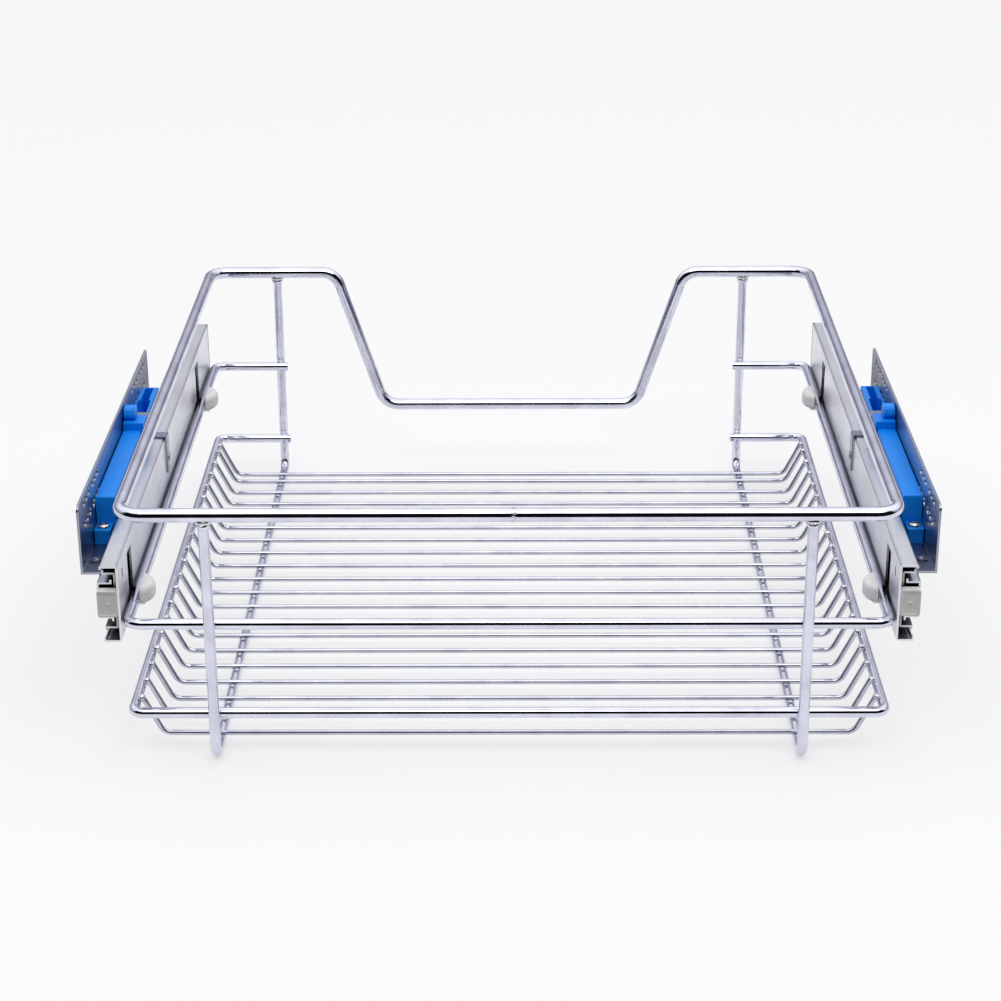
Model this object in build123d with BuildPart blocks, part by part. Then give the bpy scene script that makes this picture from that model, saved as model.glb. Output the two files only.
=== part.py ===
from build123d import *
import os
from math import cos, radians, sin, tan

# Overall: millimetres, +Z up, front toward -Y, origin on the floor at the middle of the plan
TOP_WIRE_D = 7.6
FRAME_WIRE_D = 6.0
FLOOR_WIRE_D = 3.0
FRONT_Y = -210.0
REAR_Y = 210.0
TOUCH = 0.02  # gap left between round wires that are welded where they cross

# Closed top rail, with its rear bar dipped for plumbing
TOP_X = 205.0
TOP_Z = 146.9
TOP_CORNER_R = 12.0
DIP_TOP_X = 120.0
DIP_LOW_X = 88.0
DIP_DROP = 96.7
DIP_BEND_R = 13.0
DIP_JOIN_X = 172.0

# Open middle and lower rails, welded inside the two U wires
RAIL_STEP = FRAME_WIRE_D + TOUCH
RAIL_FRONT_Y = FRONT_Y + RAIL_STEP
RAIL_REAR_Y = REAR_Y - RAIL_STEP
RAIL_END_X = 154.5
MIDDLE_CORNER_R = 7.0
LOWER_CORNER_R = 6.0
MIDDLE_X = 205.0
MIDDLE_Z = 80.7
LOWER_X = 205.3
LOWER_Z = 26.9

# U wires, the feet of the basket
U_X = 160.0
U_Z = FRAME_WIRE_D / 2
U_BEND_R = 8.0
U_TOP_Z = TOP_Z - TOP_WIRE_D / 2 - TOUCH

# Floor wires, lying on the U wires, their ends flared up to the lower rail
FLOOR_PITCH = 20.1
FLOOR_FIRST_Y = -190.8
FLOOR_EVEN_COUNT = 19
FLOOR_LAST_STEP = 12.7
FLOOR_Z = FRAME_WIRE_D + FLOOR_WIRE_D / 2 + TOUCH
FLARE_ANGLE = 26.0
FLARE_BEND_R = 7.0
FLARE_OVERRUN = 1.6

# Slides: distances u run outboard from the basket side of the drawer rail
SLIDE_X = MIDDLE_X + FRAME_WIRE_D / 2 + 0.3
SLIDE_Z = 91.4
SLIDE_FRONT_Y = -202.0
SLIDE_LENGTH = 400.0
MEMBER_SETBACK = 5.0
RAIL_SHORTER = 0.4
SHEET = 1.2
THIN_SHEET = 1.0
BALL_D = 4.7
BALL_GAP = 0.05
RACE = BALL_D + 2 * BALL_GAP

DRAWER_HALF = 22.5
DRAWER_DEPTH = 10.0
DRAWER_LIP = 2.2
DRAWER_BEND_R = 2.2
DRAWER_RACE = DRAWER_HALF - SHEET
MIDDLE_RACE = DRAWER_RACE - RACE
MIDDLE_WEB_U = 2.4
MIDDLE_DEPTH_U = 9.6
MIDDLE_LIP = 1.3
MEMBER_BEND_R = 0.9
CABINET_RACE = MIDDLE_RACE - THIN_SHEET - RACE
CABINET_LIP_U = 4.6
CABINET_LIP = 1.6
SLIDE_DEPTH = 12.7
NOTCH_SETBACK = 14.0
NOTCH_HEIGHTS = (12.5, -17.0)
NOTCH_SIZE = (6.0, 2.4)

# Ball cages
CAGE_SHEET = 0.6
CAGE_LENGTH = 184.0
CAGE_SETBACK = 108.0
CAGE_BALLS = 4
CAGE_BALL_PITCH = 56.0
CAGE_HOLE_D = BALL_D + 0.2
OUTER_CAGE_U = 1.5
OUTER_CAGE_END_U = 9.3
OUTER_BALL_U = 5.8
INNER_CAGE_U = 3.7
INNER_CAGE_END_U = 11.0
INNER_BALL_U = 8.1

# Lanced hooks that carry the middle rail, and their plastic clips
HOOK_FRONT_INSET = 38.0
HOOK_REAR_INSET = 64.0
HOOK_WIDTH = 14.0
HOOK_BEND_R = 0.5
HOOK_INNER_X = MIDDLE_X - FRAME_WIRE_D / 2 - 0.8
HOOK_TOP_Z = 85.2
HOOK_SEAT_Z = MIDDLE_Z - FRAME_WIRE_D / 2 - TOUCH
WINDOW_TOP_Z = 107.4
WINDOW_CORNER_R = 1.5
CLIP_HALF_LENGTH = 12.0
CLIP_BULGE = 7.0
CLIP_ROUND_R = 3.4
CLIP_OUTER_X = MIDDLE_X - FRAME_WIRE_D / 2 - 0.05
CLIP_BOTTOM_Z = 77.8
CLIP_TOP_Z = 88.3

# Front buffer and rear stop
BUFFER_THICK = 4.5
BUFFER_HALF = 7.8
BUFFER_REACH = 12.3
BUFFER_CORNER_R = 1.4
BUFFER_RIM = 1.3
BUFFER_SINK = 0.5
BUFFER_MARK = (2.6, 1.3)
STOP_THICK = 4.0
STOP_HALF = 21.0
STOP_EAR_Z = 26.0
STOP_EAR_THICK = 3.0
STOP_CORNER_R = 0.8

# Wall bracket, from the back of the slide out to the cabinet wall
BRACKET_REACH = 11.0
BRACKET_SETBACK = 20.0
BRACKET_LENGTH = 257.0
SHELF_Z = 101.1
PLATE_HEIGHT = 38.3
FLANGE_DROP = 20.7
PLATE_CORNER_R = 3.0
BRACKET_BEND_R = 1.0
HOLE_D = 5.5
HOLE_DROPS = (5.0, 17.0)
HOLE_OFFSETS = (18.0, 26.0, 34.0, 46.0, 54.0, 62.0)
PILOT_D = 3.0
PILOT_OFFSET = 22.0
PILOT_DROP = 11.0
EYELET_OFFSET = 16.0
EYELET_FROM_PLATE = 5.6
EYELET_D = 4.0
EYELET_RIM = 1.2
EYELET_HEIGHT = 0.8
RIVET_OFFSETS = (32.0, 129.0, 232.0)
RIVET_DROP = 10.7
RIVET_D = 4.0
RIVET_HEAD_D = 7.2
RIVET_HEAD = 0.9

# Soft-close damper on the shelf: heights over the shelf, lengths from front to rear
DAMPER_SETBACK = 38.0
DAMPER_WIDTH = 10.9
DAMPER_GAP = 0.4
DAMPER_HEIGHT = 23.8
DAMPER_UNDERCUT = 1.9
DAMPER_STEP = 3.8
DAMPER_EDGE_R = 0.6
FOOT_LENGTH = 11.0
FOOT_HEIGHT = 8.0
BODY_LENGTH = 116.5
BRIDGE_GAP = 16.5
TROUGH_LENGTH = 43.0
TROUGH_WALL = 1.5
TROUGH_STEP = 20.0
TROUGH_THICK_WALL = 2.9
TROUGH_FLOOR = 4.8
TRACK_DROP = 4.2
TRACK_HEIGHT = 3.6
TRACK_DEPTH = 3.0
TRACK_LENGTH = 59.5
CATCH_SETBACK = 0.5
CATCH_LENGTH = 14.0
CATCH_GAP = 0.3
CATCH_LEG = 1.0
CATCH_BRIDGE = 4.2
FINGER_WIDTH = 6.6
FINGER_HEIGHT = 7.5
FINGER_FRONT_INSET = 2.0
FINGER_SLOPE = 3.5
FINGER_R = 3.0
SCREW_D = 3.5
SCREW_HEAD_D = 7.0
SCREW_HEAD = 2.2

# Steel strip over the drawer rail that drives the catch, with a leg down the basket side
STRIP_WIDTH = 8.0
STRIP_BEHIND_CATCH = 1.0
STRIP_RISER_GAP = 0.6
STRIP_OVER_DAMPER = 2.7
STRIP_FROM_PLATE = 3.0
STRIP_LEG = 22.5
STRIP_BEND_R = 0.4
STRIP_RIVET_D = 5.0
STRIP_RIVET_DROP = 13.5

slide_top_z = SLIDE_Z + DRAWER_HALF
slide_rear_y = SLIDE_FRONT_Y + SLIDE_LENGTH
member_front_y = SLIDE_FRONT_Y + MEMBER_SETBACK
cage_front_y = SLIDE_FRONT_Y + CAGE_SETBACK
hook_ys = (SLIDE_FRONT_Y + HOOK_FRONT_INSET, slide_rear_y - HOOK_REAR_INSET)
flange_x = SLIDE_X + SLIDE_DEPTH
plate_x = flange_x + BRACKET_REACH
bracket_front_y = SLIDE_FRONT_Y + BRACKET_SETBACK
bracket_rear_y = bracket_front_y + BRACKET_LENGTH
rivet_z = SHELF_Z - RIVET_DROP
rivet_ys = [bracket_front_y + offset for offset in RIVET_OFFSETS]
damper_outer_x = plate_x - SHEET - DAMPER_GAP
damper_inner_x = damper_outer_x - DAMPER_WIDTH
foot_inner_x = damper_inner_x + DAMPER_UNDERCUT
foot_front_y = bracket_front_y + DAMPER_SETBACK
body_front_y = foot_front_y + FOOT_LENGTH
body_rear_y = body_front_y + BODY_LENGTH
trough_front_y = body_rear_y + BRIDGE_GAP
trough_rear_y = trough_front_y + TROUGH_LENGTH
damper_top_z = SHELF_Z + DAMPER_HEIGHT
screw_xy = ((foot_inner_x + damper_outer_x) / 2, foot_front_y + FOOT_LENGTH / 2)
catch_rear_y = body_rear_y - CATCH_SETBACK
catch_front_y = catch_rear_y - CATCH_LENGTH


def section_plane(y):
    """Upright plane across the slide at depth y, local axes X and Z."""
    return Plane(origin=(0, y, 0), x_dir=(1, 0, 0), z_dir=(0, -1, 0))


def side_plane(x):
    """Upright plane along the slide at width x, local axes Y and Z."""
    return Plane(origin=(x, 0, 0), x_dir=(0, 1, 0), z_dir=(1, 0, 0))


def wire_start(path):
    """Plane square to a path at its start."""
    return Plane(origin=path @ 0, z_dir=path % 0)


def slide_points(points):
    """Section points given as (u, height above the slide's middle) in X and Z."""
    return [(SLIDE_X + u, SLIDE_Z + h) for u, h in points]


def mirrored_pair(half):
    """Close a section outline that is the same above and below its middle."""
    return half + [(u, -h) for u, h in reversed(half)]


# Basket wires
with BuildPart() as top_rail:
    with BuildLine(Plane.XY.offset(TOP_Z)) as top_loop:
        FilletPolyline(
            (-DIP_JOIN_X, REAR_Y), (-TOP_X, REAR_Y), (-TOP_X, FRONT_Y),
            (TOP_X, FRONT_Y), (TOP_X, REAR_Y), (DIP_JOIN_X, REAR_Y),
            radius=TOP_CORNER_R,
        )
    with BuildSketch(wire_start(top_loop.wires()[0])):
        Circle(TOP_WIRE_D / 2)
    sweep(path=top_loop.wires()[0])
    with BuildLine(section_plane(REAR_Y)) as top_dip:
        FilletPolyline(
            (-DIP_JOIN_X, TOP_Z), (-DIP_TOP_X, TOP_Z), (-DIP_LOW_X, TOP_Z - DIP_DROP),
            (DIP_LOW_X, TOP_Z - DIP_DROP), (DIP_TOP_X, TOP_Z), (DIP_JOIN_X, TOP_Z),
            radius=DIP_BEND_R,
        )
    with BuildSketch(wire_start(top_dip.wires()[0])):
        Circle(TOP_WIRE_D / 2)
    sweep(path=top_dip.wires()[0])
top_rail.part.label = "top_rail"

with BuildPart() as middle_rail:
    with BuildLine(Plane.XY.offset(MIDDLE_Z)) as middle_path:
        FilletPolyline(
            (-RAIL_END_X, RAIL_REAR_Y), (-MIDDLE_X, RAIL_REAR_Y), (-MIDDLE_X, RAIL_FRONT_Y),
            (MIDDLE_X, RAIL_FRONT_Y), (MIDDLE_X, RAIL_REAR_Y), (RAIL_END_X, RAIL_REAR_Y),
            radius=MIDDLE_CORNER_R,
        )
    with BuildSketch(wire_start(middle_path.wires()[0])):
        Circle(FRAME_WIRE_D / 2)
    sweep(path=middle_path.wires()[0])
middle_rail.part.label = "middle_rail"

with BuildPart() as lower_rail:
    with BuildLine(Plane.XY.offset(LOWER_Z)) as lower_path:
        FilletPolyline(
            (-RAIL_END_X, RAIL_REAR_Y), (-LOWER_X, RAIL_REAR_Y), (-LOWER_X, RAIL_FRONT_Y),
            (LOWER_X, RAIL_FRONT_Y), (LOWER_X, RAIL_REAR_Y), (RAIL_END_X, RAIL_REAR_Y),
            radius=LOWER_CORNER_R,
        )
    with BuildSketch(wire_start(lower_path.wires()[0])):
        Circle(FRAME_WIRE_D / 2)
    sweep(path=lower_path.wires()[0])
lower_rail.part.label = "lower_rail"

with BuildPart() as u_wire_right:
    with BuildLine(side_plane(U_X)) as u_path:
        FilletPolyline(
            (FRONT_Y, U_TOP_Z), (FRONT_Y, U_Z), (REAR_Y, U_Z), (REAR_Y, U_TOP_Z),
            radius=U_BEND_R,
        )
    with BuildSketch(wire_start(u_path.wires()[0])):
        Circle(FRAME_WIRE_D / 2)
    sweep(path=u_path.wires()[0])
u_wire_right.part.label = "u_wire_right"

with BuildPart() as u_wire_left:
    mirror(u_wire_right.part, about=Plane.YZ)
u_wire_left.part.label = "u_wire_left"

flare = radians(FLARE_ANGLE)
weld_offset = (FRAME_WIRE_D + FLOOR_WIRE_D) / 2 + TOUCH
weld_x = LOWER_X - weld_offset * cos(flare)
weld_z = LOWER_Z + weld_offset * sin(flare)
flare_foot_x = weld_x - (weld_z - FLOOR_Z) * tan(flare)
flare_end_x = weld_x + FLARE_OVERRUN * sin(flare)
flare_end_z = weld_z + FLARE_OVERRUN * cos(flare)
floor_ys = [FLOOR_FIRST_Y + FLOOR_PITCH * i for i in range(FLOOR_EVEN_COUNT)]
floor_ys.append(floor_ys[-1] + FLOOR_LAST_STEP)

with BuildPart() as floor_wires:
    for wire_y in floor_ys:
        with BuildLine(section_plane(wire_y)) as floor_path:
            FilletPolyline(
                (-flare_end_x, flare_end_z), (-flare_foot_x, FLOOR_Z),
                (flare_foot_x, FLOOR_Z), (flare_end_x, flare_end_z),
                radius=FLARE_BEND_R,
            )
        with BuildSketch(wire_start(floor_path.wires()[0])):
            Circle(FLOOR_WIRE_D / 2)
        sweep(path=floor_path.wires()[0])
floor_wires.part.label = "floor_wires"

# Slide members, built on the right and mirrored to the left
drawer_outline = mirrored_pair([
    (0, DRAWER_HALF), (DRAWER_DEPTH, DRAWER_HALF), (DRAWER_DEPTH, DRAWER_HALF - DRAWER_LIP),
    (DRAWER_DEPTH - SHEET, DRAWER_HALF - DRAWER_LIP), (DRAWER_DEPTH - SHEET, DRAWER_RACE),
    (SHEET, DRAWER_RACE),
])
window_mid_z = (WINDOW_TOP_Z + HOOK_SEAT_Z) / 2
with BuildPart() as drawer_rail_right:
    with BuildSketch(section_plane(SLIDE_FRONT_Y)) as drawer_section:
        with BuildLine():
            Polyline(*slide_points(drawer_outline), close=True)
        make_face()
        fillet(drawer_section.vertices().group_by(Axis.X)[0], radius=DRAWER_BEND_R)
        fillet(
            [v for v in drawer_section.vertices().group_by(Axis.X)[-1]
             if abs(v.Z - SLIDE_Z) > DRAWER_RACE],
            radius=MEMBER_BEND_R,
        )
    extrude(amount=-(SLIDE_LENGTH - RAIL_SHORTER))
    for hook_y in hook_ys:
        with BuildSketch(side_plane(SLIDE_X - SHEET)) as window:
            with Locations((hook_y, window_mid_z)):
                Rectangle(HOOK_WIDTH, WINDOW_TOP_Z - HOOK_SEAT_Z)
            fillet(window.vertices().group_by(Axis.Z)[-1], radius=WINDOW_CORNER_R)
        extrude(amount=3 * SHEET, mode=Mode.SUBTRACT)
        with BuildSketch(section_plane(hook_y - HOOK_WIDTH / 2)) as hook_section:
            with BuildLine():
                Polyline(
                    (SLIDE_X, HOOK_SEAT_Z), (HOOK_INNER_X, HOOK_SEAT_Z),
                    (HOOK_INNER_X, HOOK_TOP_Z), (HOOK_INNER_X - SHEET, HOOK_TOP_Z),
                    (HOOK_INNER_X - SHEET, HOOK_SEAT_Z - SHEET),
                    (SLIDE_X, HOOK_SEAT_Z - SHEET),
                    close=True,
                )
            make_face()
            fillet(
                hook_section.vertices().group_by(Axis.Z)[0].sort_by(Axis.X)[0],
                radius=HOOK_BEND_R,
            )
        extrude(amount=-HOOK_WIDTH)
    with BuildSketch(side_plane(SLIDE_X - SHEET)):
        with Locations(*[
            (SLIDE_FRONT_Y + NOTCH_SETBACK, SLIDE_Z + height) for height in NOTCH_HEIGHTS
        ]):
            SlotOverall(*NOTCH_SIZE, rotation=90)
    extrude(amount=3 * SHEET, mode=Mode.SUBTRACT)
drawer_rail_right.part.label = "drawer_rail_right"

with BuildPart() as drawer_rail_left:
    mirror(drawer_rail_right.part, about=Plane.YZ)
drawer_rail_left.part.label = "drawer_rail_left"

middle_outline = mirrored_pair([
    (MIDDLE_WEB_U, MIDDLE_RACE), (MIDDLE_DEPTH_U - THIN_SHEET, MIDDLE_RACE),
    (MIDDLE_DEPTH_U - THIN_SHEET, MIDDLE_RACE + MIDDLE_LIP),
    (MIDDLE_DEPTH_U, MIDDLE_RACE + MIDDLE_LIP), (MIDDLE_DEPTH_U, MIDDLE_RACE - THIN_SHEET),
    (MIDDLE_WEB_U + THIN_SHEET, MIDDLE_RACE - THIN_SHEET),
])
with BuildPart() as middle_member_right:
    with BuildSketch(section_plane(member_front_y)) as middle_section:
        with BuildLine():
            Polyline(*slide_points(middle_outline), close=True)
        make_face()
        fillet(middle_section.vertices().group_by(Axis.X)[0], radius=MEMBER_BEND_R)
        fillet(
            [v for v in middle_section.vertices().group_by(Axis.X)[-1]
             if abs(v.Z - SLIDE_Z) < MIDDLE_RACE],
            radius=MEMBER_BEND_R,
        )
    extrude(amount=-(SLIDE_LENGTH - MEMBER_SETBACK - RAIL_SHORTER))
middle_member_right.part.label = "middle_member_right"

with BuildPart() as middle_member_left:
    mirror(middle_member_right.part, about=Plane.YZ)
middle_member_left.part.label = "middle_member_left"

cabinet_outline = mirrored_pair([
    (SLIDE_DEPTH, CABINET_RACE), (CABINET_LIP_U + THIN_SHEET, CABINET_RACE),
    (CABINET_LIP_U + THIN_SHEET, CABINET_RACE + CABINET_LIP),
    (CABINET_LIP_U, CABINET_RACE + CABINET_LIP), (CABINET_LIP_U, CABINET_RACE - THIN_SHEET),
    (SLIDE_DEPTH - SHEET, CABINET_RACE - THIN_SHEET),
])
with BuildPart() as cabinet_member_right:
    with BuildSketch(section_plane(member_front_y)) as cabinet_section:
        with BuildLine():
            Polyline(*slide_points(cabinet_outline), close=True)
        make_face()
        fillet(cabinet_section.vertices().group_by(Axis.X)[-1], radius=MEMBER_BEND_R)
        fillet(
            [v for v in cabinet_section.vertices().group_by(Axis.X)[0]
             if abs(v.Z - SLIDE_Z) < CABINET_RACE],
            radius=MEMBER_BEND_R,
        )
    extrude(amount=-(SLIDE_LENGTH - MEMBER_SETBACK))
    with BuildSketch(side_plane(SLIDE_X + SLIDE_DEPTH - 2 * SHEET)):
        with Locations(*[(rivet_y, rivet_z) for rivet_y in rivet_ys]):
            Circle(RIVET_D / 2)
    extrude(amount=3 * SHEET, mode=Mode.SUBTRACT)
cabinet_member_right.part.label = "cabinet_member_right"

with BuildPart() as cabinet_member_left:
    mirror(cabinet_member_right.part, about=Plane.YZ)
cabinet_member_left.part.label = "cabinet_member_left"

# Ball cages and their balls
ball_ys = [
    cage_front_y + CAGE_LENGTH / 2 + CAGE_BALL_PITCH * (i - (CAGE_BALLS - 1) / 2)
    for i in range(CAGE_BALLS)
]
outer_ball_h = MIDDLE_RACE + RACE / 2
inner_ball_h = CABINET_RACE + RACE / 2
outer_ball_xy = [(SLIDE_X + OUTER_BALL_U, ball_y) for ball_y in ball_ys]
inner_ball_xy = [(SLIDE_X + INNER_BALL_U, ball_y) for ball_y in ball_ys]
outer_cage_outline = mirrored_pair([
    (OUTER_CAGE_U, outer_ball_h + CAGE_SHEET / 2),
    (OUTER_CAGE_END_U, outer_ball_h + CAGE_SHEET / 2),
    (OUTER_CAGE_END_U, outer_ball_h - CAGE_SHEET / 2),
    (OUTER_CAGE_U + CAGE_SHEET, outer_ball_h - CAGE_SHEET / 2),
])
inner_cage_outline = mirrored_pair([
    (INNER_CAGE_U, inner_ball_h + CAGE_SHEET / 2),
    (INNER_CAGE_END_U, inner_ball_h + CAGE_SHEET / 2),
    (INNER_CAGE_END_U, inner_ball_h - CAGE_SHEET / 2),
    (INNER_CAGE_U + CAGE_SHEET, inner_ball_h - CAGE_SHEET / 2),
])

with BuildPart() as outer_cage_right:
    with BuildSketch(section_plane(cage_front_y)):
        with BuildLine():
            Polyline(*slide_points(outer_cage_outline), close=True)
        make_face()
    extrude(amount=-CAGE_LENGTH)
    with BuildSketch(Plane.XY.offset(SLIDE_Z - DRAWER_HALF)):
        with Locations(*outer_ball_xy):
            Circle(CAGE_HOLE_D / 2)
    extrude(amount=2 * DRAWER_HALF, mode=Mode.SUBTRACT)
outer_cage_right.part.label = "outer_cage_right"

with BuildPart() as outer_cage_left:
    mirror(outer_cage_right.part, about=Plane.YZ)
outer_cage_left.part.label = "outer_cage_left"

with BuildPart() as inner_cage_right:
    with BuildSketch(section_plane(cage_front_y)):
        with BuildLine():
            Polyline(*slide_points(inner_cage_outline), close=True)
        make_face()
    extrude(amount=-CAGE_LENGTH)
    with BuildSketch(Plane.XY.offset(SLIDE_Z - DRAWER_HALF)):
        with Locations(*inner_ball_xy):
            Circle(CAGE_HOLE_D / 2)
    extrude(amount=2 * DRAWER_HALF, mode=Mode.SUBTRACT)
inner_cage_right.part.label = "inner_cage_right"

with BuildPart() as inner_cage_left:
    mirror(inner_cage_right.part, about=Plane.YZ)
inner_cage_left.part.label = "inner_cage_left"

with BuildPart() as outer_balls_right:
    for height in (SLIDE_Z - outer_ball_h, SLIDE_Z + outer_ball_h):
        with Locations(*[(x, y, height) for x, y in outer_ball_xy]):
            Sphere(BALL_D / 2)
outer_balls_right.part.label = "outer_balls_right"

with BuildPart() as outer_balls_left:
    mirror(outer_balls_right.part, about=Plane.YZ)
outer_balls_left.part.label = "outer_balls_left"

with BuildPart() as inner_balls_right:
    for height in (SLIDE_Z - inner_ball_h, SLIDE_Z + inner_ball_h):
        with Locations(*[(x, y, height) for x, y in inner_ball_xy]):
            Sphere(BALL_D / 2)
inner_balls_right.part.label = "inner_balls_right"

with BuildPart() as inner_balls_left:
    mirror(inner_balls_right.part, about=Plane.YZ)
inner_balls_left.part.label = "inner_balls_left"

# Plastic clips over the hooks
with BuildPart() as clip_front_right:
    with BuildSketch(Plane.XY.offset(CLIP_BOTTOM_Z)):
        with BuildLine():
            Line(
                (CLIP_OUTER_X, hook_ys[0] + CLIP_HALF_LENGTH),
                (CLIP_OUTER_X, hook_ys[0] - CLIP_HALF_LENGTH),
            )
            ThreePointArc(
                (CLIP_OUTER_X, hook_ys[0] - CLIP_HALF_LENGTH),
                (CLIP_OUTER_X - CLIP_BULGE, hook_ys[0]),
                (CLIP_OUTER_X, hook_ys[0] + CLIP_HALF_LENGTH),
            )
        make_face()
    extrude(amount=CLIP_TOP_Z - CLIP_BOTTOM_Z)
    fillet(clip_front_right.edges().filter_by(GeomType.CIRCLE), radius=CLIP_ROUND_R)
    with BuildSketch(Plane.XY.offset(CLIP_BOTTOM_Z)):
        with Locations((HOOK_INNER_X - SHEET / 2, hook_ys[0])):
            Rectangle(SHEET, HOOK_WIDTH)
    extrude(amount=HOOK_TOP_Z - CLIP_BOTTOM_Z, mode=Mode.SUBTRACT)
clip_front_right.part.label = "clip_front_right"

with BuildPart() as clip_rear_right:
    with Locations((0, hook_ys[1] - hook_ys[0], 0)):
        add(clip_front_right.part)
clip_rear_right.part.label = "clip_rear_right"

with BuildPart() as clip_front_left:
    mirror(clip_front_right.part, about=Plane.YZ)
clip_front_left.part.label = "clip_front_left"

with BuildPart() as clip_rear_left:
    mirror(clip_rear_right.part, about=Plane.YZ)
clip_rear_left.part.label = "clip_rear_left"

# Front buffer on the drawer rail
with BuildPart() as buffer_right:
    with BuildSketch(section_plane(SLIDE_FRONT_Y)) as buffer_section:
        with Locations((SLIDE_X + (SHEET + BUFFER_REACH) / 2, SLIDE_Z)):
            Rectangle(BUFFER_REACH - SHEET, 2 * BUFFER_HALF)
        fillet(buffer_section.vertices(), radius=BUFFER_CORNER_R)
    extrude(amount=-BUFFER_THICK)
    fillet(buffer_right.faces().sort_by(Axis.Y)[0].edges(), radius=BUFFER_SINK)
    with BuildSketch(section_plane(SLIDE_FRONT_Y)):
        with Locations((SLIDE_X + (SHEET + BUFFER_REACH) / 2, SLIDE_Z)):
            RectangleRounded(
                BUFFER_REACH - SHEET - 2 * BUFFER_RIM, 2 * (BUFFER_HALF - BUFFER_RIM),
                BUFFER_CORNER_R / 2,
            )
            SlotOverall(*BUFFER_MARK, mode=Mode.SUBTRACT)
    extrude(amount=-BUFFER_SINK, mode=Mode.SUBTRACT)
buffer_right.part.label = "buffer_right"

with BuildPart() as buffer_left:
    mirror(buffer_right.part, about=Plane.YZ)
buffer_left.part.label = "buffer_left"

# Rear stop behind the cabinet member
with BuildPart() as rear_stop_right:
    with BuildSketch(section_plane(slide_rear_y)):
        with BuildLine():
            Polyline(
                *slide_points([
                    (0.3, -STOP_HALF), (SLIDE_DEPTH, -STOP_HALF),
                    (SLIDE_DEPTH, STOP_EAR_Z), (SLIDE_DEPTH - STOP_EAR_THICK, STOP_EAR_Z),
                    (SLIDE_DEPTH - STOP_EAR_THICK, STOP_HALF), (0.3, STOP_HALF),
                ]),
                close=True,
            )
        make_face()
    extrude(amount=-STOP_THICK)
    fillet(rear_stop_right.edges().filter_by(Axis.Y), radius=STOP_CORNER_R)
rear_stop_right.part.label = "rear_stop_right"

with BuildPart() as rear_stop_left:
    mirror(rear_stop_right.part, about=Plane.YZ)
rear_stop_left.part.label = "rear_stop_left"

# Steel strip over the drawer rail, riveted to its basket side
strip_front_y = catch_rear_y + STRIP_BEHIND_CATCH
riser_x = damper_inner_x - STRIP_RISER_GAP
strip_under_z = damper_top_z + STRIP_OVER_DAMPER - THIN_SHEET
with BuildPart() as catch_strip_right:
    with BuildSketch(section_plane(strip_front_y)) as strip_section:
        with BuildLine():
            Polyline(
                (SLIDE_X, slide_top_z - STRIP_LEG), (SLIDE_X, slide_top_z),
                (riser_x, slide_top_z), (riser_x, strip_under_z),
                (plate_x - STRIP_FROM_PLATE, strip_under_z),
                (plate_x - STRIP_FROM_PLATE, strip_under_z + THIN_SHEET),
                (riser_x - THIN_SHEET, strip_under_z + THIN_SHEET),
                (riser_x - THIN_SHEET, slide_top_z + THIN_SHEET),
                (SLIDE_X - SHEET, slide_top_z + THIN_SHEET),
                (SLIDE_X - SHEET, slide_top_z - STRIP_LEG),
                close=True,
            )
        make_face()
        fillet(
            strip_section.vertices().group_by(Axis.X)[0].sort_by(Axis.Z)[-1],
            radius=THIN_SHEET,
        )
        fillet(
            [v for v in strip_section.vertices()
             if v.X > SLIDE_X and v.X < plate_x - 2 * STRIP_FROM_PLATE],
            radius=STRIP_BEND_R,
        )
    extrude(amount=-STRIP_WIDTH)
    with BuildSketch(side_plane(SLIDE_X - SHEET)):
        with Locations((strip_front_y + STRIP_WIDTH / 2, slide_top_z - STRIP_RIVET_DROP)):
            Circle(STRIP_RIVET_D / 2)
    extrude(amount=-RIVET_HEAD)
    fillet(catch_strip_right.edges().group_by(Axis.X)[0], radius=RIVET_HEAD / 2)
catch_strip_right.part.label = "catch_strip_right"

with BuildPart() as catch_strip_left:
    mirror(catch_strip_right.part, about=Plane.YZ)
catch_strip_left.part.label = "catch_strip_left"

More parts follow.
